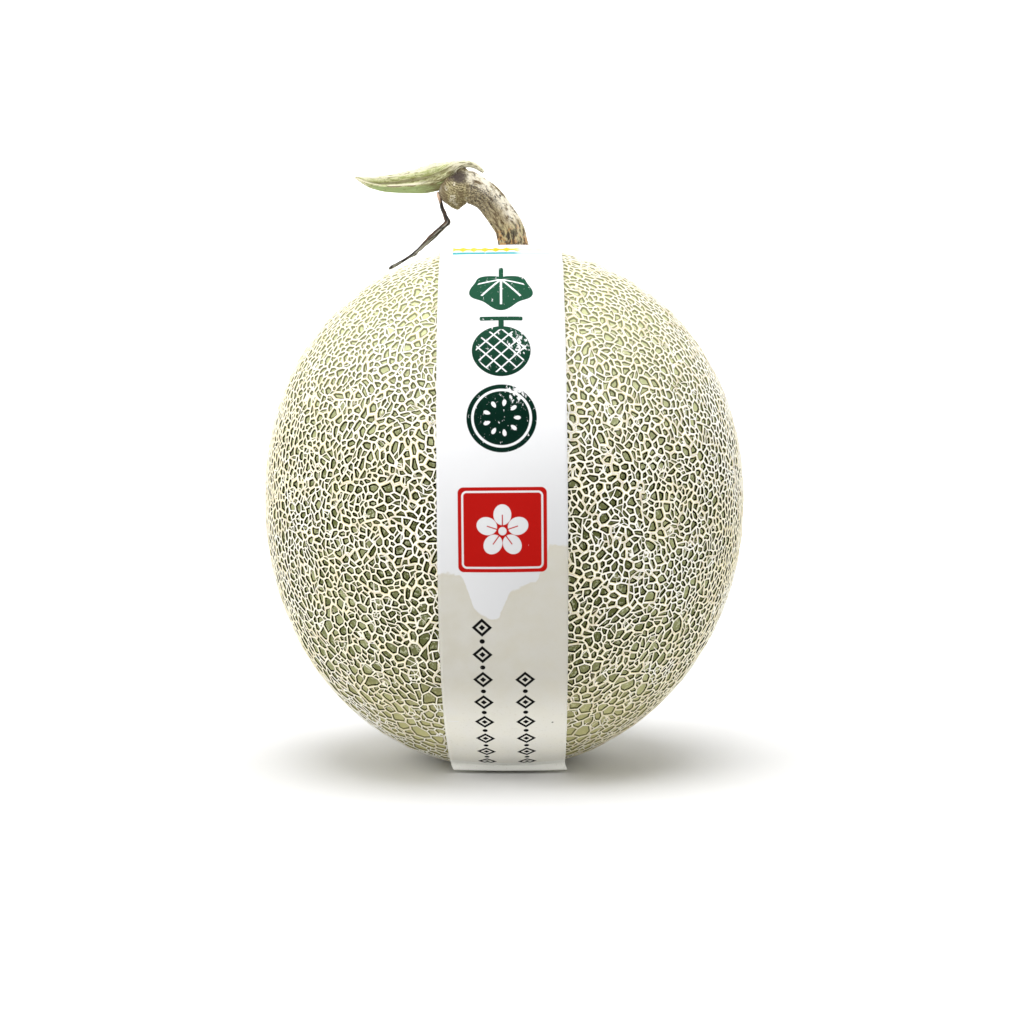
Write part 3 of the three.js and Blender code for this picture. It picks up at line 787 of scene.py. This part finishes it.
# The tendril grew out of the node and dried into a thin dark wire with a sharp kink and a knob.
# It hangs down to the left, and its tip ends just short of the fruit.
TENDRIL_PATH = (
    (-0.0208, 0.0, 0.1800), (-0.0197, -0.0002, 0.1752), (-0.0178, -0.0004, 0.1705),
    (-0.0228, -0.0004, 0.1659), (-0.0284, -0.0003, 0.1606), (-0.0324, -0.0001, 0.1582),
    (-0.0365, 0.0, 0.1559),
)
TENDRIL_RINGS = 180
TENDRIL_SIDES = 20
TENDRIL_TWIST = 0.0045
TENDRIL_STREAK_SCALE = 1500.0
TENDRIL_RADIUS = 0.00055
TENDRIL_SWELL = 0.0006
TENDRIL_KNOB = 0.0002
TENDRIL_DARK = (0.012, 0.008, 0.006, 1)
TENDRIL_RED = (0.09, 0.045, 0.022, 1)
TENDRIL_PINK = (0.75, 0.52, 0.38, 1)
TENDRIL_GREY = (0.36, 0.35, 0.29, 1)


def tendril_mesh():
    corners = np.array(TENDRIL_PATH)
    marks = path_lengths(corners)
    along = np.linspace(0, marks[-1], TENDRIL_RINGS)
    spots = np.stack([np.interp(along, marks, corners[:, k]) for k in range(3)], axis=1)
    for _ in range(4):
        spots[1:-1] = (spots[:-2] + 2 * spots[1:-1] + spots[2:]) / 4
    heading = np.gradient(spots, axis=0)
    heading /= np.linalg.norm(heading, axis=1, keepdims=True)
    reach = TENDRIL_RADIUS + TENDRIL_SWELL * bell(along, marks[2] + 0.0045, 0.0048)
    for knot, rise in ((marks[2], 1.0), (marks[4], 1.0), (0.0012, 1.8)):
        reach += TENDRIL_KNOB * rise * bell(along, knot, 0.0007 * rise)
    reach *= np.clip((marks[-1] - along) / 0.002 + 0.35, 0, 1) ** 0.5
    turn = turns(TENDRIL_SIDES)[None]
    twist = along[:, None] / TENDRIL_TWIST
    flat = 1 - 0.18 * np.cos(2 * (turn - twist))
    rough = 1 + 0.1 * np.sin(7 * turn + along[:, None] / 0.0006)
    reach = reach[:, None] * flat * rough / 1.1
    return loft_mesh("dry_tendril", spots, heading, along, reach * np.cos(turn), reach * np.sin(turn))


def tendril_material():
    material, tree, shader = new_material("dry_tendril")
    grain = attribute_field(tree, "grain", "Vector")
    streaks = noise_field(tree, drawn_out(grain, 0.2), TENDRIL_STREAK_SCALE, 3.0)
    up, _, along = grain.parts()
    root = along.ramp(0.001, 0.005, 1.0, 0.0)
    tip = along.ramp(0.026, 0.032)
    colour = streaks.ramp(0.45, 0.6).mix(TENDRIL_DARK, TENDRIL_RED)
    lit = up.ramp(-0.0001, 0.0003, 1.0, 0.0) * streaks.ramp(0.4, 0.55)
    colour = (lit * along.ramp(0.008, 0.012) * 0.8).mix(colour, TENDRIL_GREY)
    colour = (root * streaks.ramp(0.4, 0.5)).mix(colour, TENDRIL_PINK)
    colour = (tip * streaks.ramp(0.35, 0.6) * 0.7).mix(colour, TENDRIL_GREY)
    fill(tree, shader.inputs["Base Color"], colour)
    shader.inputs["Roughness"].default_value = 0.65
    fill(tree, shader.inputs["Normal"], bump(tree, streaks, 0.0002, 0.7))
    return material


tendril = add_object("dry_tendril", tendril_mesh(), tendril_material())
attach(tendril, "root")
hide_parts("tendril")


# The label is a strip of coated white paper laid over the fruit from the stalk down the front. It is
# printed with plain ornaments, stained by juice in its lower half, and its lower end is creased out.
LABEL_WIDTH = 0.0368
LABEL_THICKNESS = 0.00012
LABEL_CLEAR = 0.00025
LABEL_X = -0.0003
LABEL_LEAN = 0.008
LABEL_HOOK = 0.001
LABEL_TAPER = 0.05
FLAP_SHIFT = 0.0008
LABEL_TOP_ANGLE = math.radians(8.6)
LABEL_BOTTOM_ANGLE = math.radians(162)
LABEL_BOW = 0.55
FLAP_ROWS = 6
FLAP_LENGTH = 0.0019
FLAP_ANGLE = math.radians(64)
LABEL_WAVE = 0.00012
LABEL_CORNER = 0.0016
LABEL_ROWS = 220
LABEL_COLUMNS = 40
# The print's places and lengths are in millimetres, across the strip and down from its top
YELLOW_RULE_Y = 11.2
BLUE_RULE_Y = 15.9
RULE_PITCH = 3.3
LEAF_Y = 35.4
LEAF_REACH = 6.2
VEIN_SPREAD = 0.62
WHOLE_MELON_Y = 64.2
WHOLE_MELON_RADIUS = 8.4
CUT_MELON_Y = 85.0
CUT_MELON_RADIUS = 9.9
SEED_RING_RADIUS = 4.4
PANEL_Y = 116.6
PANEL_HALF_WIDTH = 12.5
PANEL_HALF_HEIGHT = 12.0
PANEL_MARGIN = 1.3
BLOSSOM_Y = 116.9
PETAL_SPREAD = math.radians(72)
CHAIN_PITCH = 8.8
# How far each chain of lozenges is shifted, and after how many lozenges from the top it starts
CHAINS = ((6.1, 16.0), (-6.0, 18.0))
CHAIN_END_Y = 208.6
TIDE_Y = 129.0
PAPER_SHADE_FROM = (60.0, 132.0)
PAPER_SHADE_TO = (160.0, 190.0)
FLAP_Y = 208.3
WHITE_SCRATCH = (-15.4, 181.0, 1.6, 0.1)
DARK_SPOT = (13.8, 181.5, 0.3)
RUBBED_SPOTS = ((5.5, 61.5), (4.5, 77.5))
TIDE_STEPS = ((-12.5, -7, 11.5), (-8, -3, 2), (-2.3, 3, -8.7), (3, 9, -2.2), (9, 13.5, -10.5))
PAPER_WHITE = (0.82, 0.82, 0.83, 1)
PAPER_SHADE_GREY = (0.56, 0.565, 0.57, 1)
STAIN_BEIGE = (0.88, 0.86, 0.77, 1)
FLAP_LIT_WHITE = (0.97, 0.97, 0.91, 1)
SHADED_STAIN_GREY = (0.52, 0.5, 0.43, 1)
TIDE_BROWN = (0.5, 0.45, 0.34, 1)
INK_GREEN = (0.0, 0.014, 0.008, 1)
FADED_AND_SHEEN_GREEN = (0.001, 0.06, 0.026, 1)
INK_RED = (0.39, 0.004, 0.002, 1)
INK_BLACK = (0.001, 0.001, 0.001, 1)
INK_YELLOW = (0.85, 0.5, 0.01, 1)
INK_BLUE = (0.05, 0.38, 0.42, 1)


def skin_radius(unit):
    """How far the crests lie from the fruit's middle in each direction."""
    upper = unit[:, 2] > 0
    power = np.where(upper, SHOULDER_POWER, BELLY_POWER)
    height = np.where(upper, SHOULDER_HEIGHT, BELLY_DEPTH)
    across = np.hypot(unit[:, 0], unit[:, 1]) / WIDEST_RADIUS
    reach = (across ** power + (np.abs(unit[:, 2]) / height) ** power) ** (-1 / power)
    return reach - LEFT_SWELL * unit[:, 0] * unit[:, 2] ** 2


def label_line(angles):
    """The strip's middle line on the front of the fruit, with its downward and outward directions."""
    def spot(angle):
        unit = np.stack([np.zeros_like(angle), -np.sin(angle), np.cos(angle)], axis=1)
        return unit * skin_radius(unit)[:, None]
    place = spot(angles)
    down = spot(angles + 1e-3) - place
    below = np.clip(-place[:, 2] / BELLY_DEPTH, 0, 1)
    place[:, 0] = LABEL_X - LABEL_LEAN * place[:, 2] + LABEL_HOOK * below ** 4
    place[:, 2] += WIDEST_Z
    down /= np.linalg.norm(down, axis=1, keepdims=True)
    down[:, 0] = -LABEL_LEAN * down[:, 2]
    down /= np.linalg.norm(down, axis=1, keepdims=True)
    out = np.cross((-1.0, 0.0, 0.0), down)
    return place, down, out / np.linalg.norm(out, axis=1, keepdims=True)


def label_mesh():
    share = np.linspace(0, 1, LABEL_ROWS)
    place, down, out = label_line(LABEL_TOP_ANGLE + (LABEL_BOTTOM_ANGLE - LABEL_TOP_ANGLE) * share)
    bow = LABEL_BOW * np.minimum(1, 4 * share)
    flap = np.linspace(0, FLAP_LENGTH, FLAP_ROWS + 1)[1:]
    along = down[-1] * math.cos(FLAP_ANGLE) + out[-1] * math.sin(FLAP_ANGLE)
    lifted = out[-1] * math.cos(FLAP_ANGLE) - down[-1] * math.sin(FLAP_ANGLE)
    place = np.vstack([place, place[-1] + along * flap[:, None]])
    down = np.vstack([down, np.repeat(along[None], FLAP_ROWS, axis=0)])
    out = np.vstack([out, np.repeat(lifted[None], FLAP_ROWS, axis=0)])
    bow = np.append(bow, np.repeat(bow[-1], FLAP_ROWS))
    walked = path_lengths(place)
    across = np.cross(out, down)
    across /= np.linalg.norm(across, axis=1, keepdims=True)
    short = np.clip(LABEL_CORNER - walked, 0, LABEL_CORNER)
    half = LABEL_WIDTH / 2 - LABEL_CORNER + np.sqrt(LABEL_CORNER ** 2 - short ** 2)
    half *= 1 - LABEL_TAPER * np.clip(walked / walked[-1] * 2.5 - 1.5, 0, 1) ** 2
    offset = half[:, None] * np.linspace(-1, 1, LABEL_COLUMNS)
    offset[-FLAP_ROWS:] += FLAP_SHIFT * (flap / FLAP_LENGTH)[:, None]
    rows, columns = len(place), LABEL_COLUMNS
    print_place = np.stack(np.broadcast_arrays(offset * 1000, walked[:, None] * 1000, 0.0), axis=2)
    wave = noise_at(print_place.reshape(-1, 3), (0.09, 0.045, 1.0), 2).reshape(rows, columns)
    at_edge = np.abs(offset / LABEL_WIDTH * 2) ** 6
    wave = wave * LABEL_WAVE + LABEL_WAVE * at_edge * (1 + np.sin(walked / 0.019))[:, None]
    sink = bow[:, None] * offset ** 2 / (2 * WIDEST_RADIUS)
    sheets = []
    for rise in (0.0, LABEL_THICKNESS):
        lift = (LABEL_CLEAR + rise + wave - sink)[..., None]
        sheet = place[:, None] + across[:, None] * offset[:, :, None] + out[:, None] * lift
        sheets.append(sheet.reshape(-1, 3))
    count = rows * columns
    faces = []
    for i in range(rows - 1):
        for j in range(columns - 1):
            a = i * columns + j
            b, c, d = a + 1, a + columns + 1, a + columns
            faces += [(a, b, c, d), (count + a, count + d, count + c, count + b)]
    rim = list(range(columns)) + [i * columns + columns - 1 for i in range(1, rows)]
    rim += [(rows - 1) * columns + j for j in range(columns - 2, -1, -1)]
    rim += [i * columns for i in range(rows - 2, 0, -1)]
    for a, b in zip(rim, rim[1:] + rim[:1]):
        faces.append((b, a, count + a, count + b))
    mesh = bpy.data.meshes.new("label_paper")
    mesh.from_pydata(np.vstack(sheets), [], faces)
    mesh.polygons.foreach_set("use_smooth", [True] * len(faces))
    store_points(mesh, "print", np.tile(print_place.reshape(-1, 3), (2, 1)))
    return mesh


def label_material():
    material, tree, shader = new_material("label_paper")
    at = attribute_field(tree, "print", "Vector")
    x, y, _ = at.parts()
    fine, specks = fine_grain(tree, at, 3.2)
    patches = noise_field(tree, at, 0.16, 2.0)
    scuffs = noise_field(tree, at.vector("MULTIPLY", (1.0, 0.6, 1.0)), 0.9, 4.0, 0.65)

    def inked(distance):
        return distance.ramp(-0.12, 0.12, 1.0, 0.0)

    def disc(middle_x, middle_y, radius):
        return ((x - middle_x) ** 2.0 + (y - middle_y) ** 2.0).math("SQRT") - radius

    def box(middle_x, middle_y, half_x, half_y, corner=0.0):
        off_x = (x - middle_x).math("ABSOLUTE") - (half_x - corner)
        off_y = (y - middle_y).math("ABSOLUTE") - (half_y - corner)
        outside = (off_x.math("MAXIMUM", 0.0) ** 2.0 + off_y.math("MAXIMUM", 0.0) ** 2.0).math("SQRT")
        return outside + off_x.math("MAXIMUM", off_y).math("MINIMUM", 0.0) - corner

    # A broad leaf that hangs from its stem, with a wavy edge and five pale veins
    off_base = disc(0.0, LEAF_Y, 0.0)
    leaf_angle = x.math("ARCTAN2", y - LEAF_Y)
    leaf_reach = (leaf_angle.math("COSINE") + 1.15) * LEAF_REACH
    leaf_reach = leaf_reach * ((leaf_angle * 7.0).math("COSINE") * 0.07 + 1.0)
    vein_angle = (leaf_angle / VEIN_SPREAD + 0.5).math("FRACT") - 0.5
    veins = (vein_angle * VEIN_SPREAD).math("ABSOLUTE") * off_base - 0.3
    veins = inked(veins) * inked(off_base - leaf_reach * 0.82) * inked(leaf_angle.math("ABSOLUTE") - 1.7)
    motif = inked(off_base - leaf_reach) * (1.0 - veins)
    motif = motif.math("MAXIMUM", inked(box(0.0, 31.6, 0.7, 3.2, 0.5)))
    # A round melon with its net and a cross piece of vine on the stalk
    melon = disc(0.0, WHOLE_MELON_Y, WHOLE_MELON_RADIUS)
    net_edge = disc(0.0, WHOLE_MELON_Y, WHOLE_MELON_RADIUS - 1.2)
    slant = ((x + y) * 0.72).math("SINE").math("ABSOLUTE")
    slope = ((x - y) * 0.72).math("SINE").math("ABSOLUTE")
    lattice = slant.math("MINIMUM", slope) - 0.2
    netted = inked(melon) * (1.0 - inked(lattice) * inked(net_edge))
    stem = inked(box(0.0, 54.6, 0.8, 1.9, 0.3)).math("MAXIMUM", inked(box(0.0, 52.9, 6.2, 0.8, 0.5)))
    motif = motif.math("MAXIMUM", netted.math("MAXIMUM", stem))
    # A melon cut across, with a pale line inside the rind and a ring of seeds
    rind_line = disc(0.0, CUT_MELON_Y, 8.2).math("ABSOLUTE") - 0.35
    off_ring = disc(0.0, CUT_MELON_Y, SEED_RING_RADIUS)
    seed_angle = (y - CUT_MELON_Y).math("ARCTAN2", x) * 4.5
    off_seed = seed_angle.math("SINE").math("ABSOLUTE") * 1.4
    seeds = ((off_ring / 1.3) ** 2.0 + off_seed ** 2.0).math("SQRT") - 0.75
    flesh = inked(rind_line).math("MAXIMUM", inked(seeds))
    motif = motif.math("MAXIMUM", inked(disc(0.0, CUT_MELON_Y, CUT_MELON_RADIUS)) * (1.0 - flesh))
    # Rows of small lozenges in black, with dots between them
    beat = ((y / CHAIN_PITCH).math("FRACT") - 0.5) * CHAIN_PITCH
    off_beat = beat.math("ABSOLUTE")
    black = 0.0
    for shift, start in CHAINS:
        aside = (x + shift).math("ABSOLUTE")
        lozenge = (aside + off_beat - 2.9) * 0.7
        hole = (aside + off_beat - 1.75) * 0.7
        heart = (aside + off_beat - 0.95) * 0.7
        bead = off_beat - CHAIN_PITCH / 2
        bead = (aside ** 2.0 + bead * bead).math("SQRT") - 0.75
        link = lozenge.math("MAXIMUM", hole * -1.0).math("MINIMUM", heart).math("MINIMUM", bead)
        black = inked(link) * (y > CHAIN_PITCH * (start + 0.1)) + black
    black = black * inked(y - CHAIN_END_Y)
    # A red panel with a white line inside its edge and a white blossom in the middle
    panel = inked(box(0.0, PANEL_Y, PANEL_HALF_WIDTH, PANEL_HALF_HEIGHT, 1.6))
    frame_line = box(0.0, PANEL_Y, PANEL_HALF_WIDTH - PANEL_MARGIN, PANEL_HALF_HEIGHT - PANEL_MARGIN, 1.2)
    frame_line = inked(frame_line.math("ABSOLUTE") - 0.28)
    off_heart = disc(0.0, BLOSSOM_Y, 0.0)
    round_heart = x.math("ARCTAN2", BLOSSOM_Y - y) / PETAL_SPREAD + 0.5
    petal_turn = (round_heart.math("FRACT") - 0.5) * PETAL_SPREAD
    outwards = off_heart * petal_turn.math("COSINE") - 4.6
    sideways = off_heart * petal_turn.math("SINE")
    petals = (outwards * outwards + sideways * sideways * 1.35).math("SQRT") - 2.9
    blossom = inked(petals) * (1.0 - inked(sideways.math("ABSOLUTE") - 0.16) * inked(outwards))
    blossom = blossom.math("MAXIMUM", inked(off_heart - 1.15))
    red = panel * (1.0 - frame_line) * (1.0 - blossom)
    # Two thin rules across the top, one of yellow lozenges and one light blue
    row = ((x / RULE_PITCH).math("FRACT") - 0.5) * RULE_PITCH
    off_rule = (y - YELLOW_RULE_Y).math("ABSOLUTE")
    yellow = inked(row.math("ABSOLUTE") / 1.7 + off_rule / 3.2 - 1.0)
    yellow = yellow.math("MAXIMUM", inked(off_rule - 1.3))
    ends = inked(x.math("ABSOLUTE") - 14.6)
    blue = inked((y - BLUE_RULE_Y).math("ABSOLUTE") - 1.1) * ends

    tide = (noise_field(tree, at, 0.35, 2.0) - 0.5) * 2.5 + TIDE_Y
    for start, end, rise in TIDE_STEPS:
        tide = tide + x.ramp(start, end, 0.0, rise)
    below = y - tide
    stained = below.ramp(-0.3, 0.5)
    line = below.ramp(-0.4, 0.3) * below.ramp(0.4, 1.6, 1.0, 0.0)
    # Painted shade: the paper greys from about a third of the way down to near its foot, most on the right,
    # and the juice stain greys with it.
    paper_shade = y.ramp(*PAPER_SHADE_FROM) * y.ramp(*PAPER_SHADE_TO, 1.0, 0.0)
    paper = (paper_shade * x.ramp(-18.0, 18.0, 0.7, 1.0)).mix(PAPER_WHITE, PAPER_SHADE_GREY)
    stain = paper_shade.mix(STAIN_BEIGE, SHADED_STAIN_GREY)
    paper = (stained * patches.ramp(0.2, 0.8, 0.75, 1.0)).mix(paper, stain)
    paper = (line * 0.22).mix(paper, TIDE_BROWN)
    # Painted light: the creased-out flap is brightened towards white.
    paper = y.ramp(FLAP_Y, FLAP_Y + 0.5, 0.0, 0.9).mix(paper, FLAP_LIT_WHITE)
    paper = inked(box(*WHITE_SCRATCH)).mix(paper, PAPER_WHITE)
    paper = (inked(disc(*DARK_SPOT)) * 0.8).mix(paper, INK_BLACK)
    paper = (specks * stained * 0.15).mix(paper, TIDE_BROWN)
    rubbed = 0.0
    for spot_x, spot_y in RUBBED_SPOTS:
        rubbed = disc(spot_x, spot_y, 0.0).ramp(1.5, 5.5, 0.14, 0.0) + rubbed
    worn = (scuffs + rubbed).ramp(0.62, 0.69, 1.0, 0.12)
    faded = x.ramp(3.5, 6.5, 1.0, 0.4) * worn
    colour = (yellow * ends * faded).mix(paper, INK_YELLOW)
    colour = (blue * faded).mix(colour, INK_BLUE)
    # The green ink is lighter towards the top: partly faded ink, partly painted sheen.
    colour = (motif * worn).mix(colour, y.ramp(38.0, 88.0).mix(FADED_AND_SHEEN_GREEN, INK_GREEN))
    colour = (red * scuffs.ramp(0.7, 0.76, 1.0, 0.5)).mix(colour, INK_RED)
    colour = (black * scuffs.ramp(0.66, 0.72, 1.0, 0.4)).mix(colour, INK_BLACK)
    fill(tree, shader.inputs["Base Color"], colour)
    shader.inputs["Specular IOR Level"].default_value = 0.05
    fill(tree, shader.inputs["Roughness"], stained.ramp(0.0, 1.0, 0.42, 0.6))
    fill(tree, shader.inputs["Normal"], bump(tree, patches + fine * 0.1, 0.0003, 0.5))
    return material


label = add_object("label_paper", label_mesh(), label_material())
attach(label, "root")
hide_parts("label_strip")


# The studio: a pale sweep that runs up behind the fruit, broad soft lights, and a camera a little
# above the middle of the fruit, square to its label.
CAMERA_DISTANCE = 0.631
CAMERA_RISE = math.radians(3.0)
CAMERA_LENS = 69.8
AIM_RIGHT = 0.0024
AIM_UP = -0.0032
SWEEP_FRONT = -3.0
SWEEP_FLAT_END = 1.2
SWEEP_BEND = 0.8
SWEEP_TOP = 4.0
SWEEP_HALF_WIDTH = 4.0
BEND_STEPS = 12
SWEEP_GREY = (0.76, 0.76, 0.76, 1)
SKY_WHITE = (1, 1, 1, 1)
SKY_STRENGTH = 0.34

camera_data = bpy.data.cameras.new("camera")
camera_data.lens = CAMERA_LENS
camera_data.sensor_width = 36.0
camera_data.clip_start = 0.01
camera = add_object("camera", camera_data)
towards = Vector((0.0, -math.cos(CAMERA_RISE), math.sin(CAMERA_RISE)))
upwards = Vector((0.0, math.sin(CAMERA_RISE), math.cos(CAMERA_RISE)))
aim = Vector((AIM_RIGHT, 0.0, WIDEST_Z)) + upwards * AIM_UP
camera.location = aim + towards * CAMERA_DISTANCE
camera.rotation_euler = (math.pi / 2 - CAMERA_RISE, 0.0, 0.0)
bpy.context.scene.camera = camera


def sweep_mesh():
    """A floor that curves up into a wall."""
    outline = [(SWEEP_FRONT, 0.0), (SWEEP_FLAT_END, 0.0)]
    for step in range(1, BEND_STEPS + 1):
        turn = math.radians(90 * step / BEND_STEPS)
        back = SWEEP_FLAT_END + SWEEP_BEND * math.sin(turn)
        outline.append((back, SWEEP_BEND - SWEEP_BEND * math.cos(turn)))
    outline.append((SWEEP_FLAT_END + SWEEP_BEND, SWEEP_TOP))
    vertices = [(x, y, z) for y, z in outline for x in (-SWEEP_HALF_WIDTH, SWEEP_HALF_WIDTH)]
    faces = [(2 * i, 2 * i + 1, 2 * i + 3, 2 * i + 2) for i in range(len(outline) - 1)]
    mesh = bpy.data.meshes.new("sweep")
    mesh.from_pydata(vertices, [], faces)
    mesh.polygons.foreach_set("use_smooth", [True] * len(faces))
    return mesh


sweep_material, _, sweep_shader = new_material("sweep")
sweep_shader.inputs["Base Color"].default_value = SWEEP_GREY
sweep_shader.inputs["Roughness"].default_value = 0.9
sweep = add_object("sweep", sweep_mesh(), sweep_material)


def add_area_light(name, target, place, size, power):
    light = bpy.data.lights.new(name, "AREA")
    light.shape = "DISK"
    light.size = size
    light.energy = power
    obj = add_object(name, light)
    obj.location = place
    obj.rotation_euler = (target - Vector(place)).to_track_quat("-Z", "Y").to_euler()


add_area_light("overhead", aim, place=(0.0, -0.15, 1.5), size=1.3, power=21.0)
add_area_light("front_high", aim, place=(-0.15, -0.9, 1.45), size=0.8, power=3.0)
add_area_light("left_side", aim, place=(-1.2, -0.5, 0.75), size=1.1, power=10.5)
add_area_light("right_side", aim, place=(1.25, -0.3, 0.6), size=1.2, power=5.2)
add_area_light("front_low", aim, place=(0.0, -1.15, 0.1), size=0.5, power=2.1)
add_area_light("backdrop", Vector((0.0, 2.0, 0.5)), place=(0.0, 0.9, 1.3), size=1.6, power=40.0)
world = bpy.data.worlds.new("studio")
world.use_nodes = True
world.node_tree.nodes["Background"].inputs["Color"].default_value = SKY_WHITE
world.node_tree.nodes["Background"].inputs["Strength"].default_value = SKY_STRENGTH
bpy.context.scene.world = world
bpy.context.scene.view_settings.view_transform = "Standard"
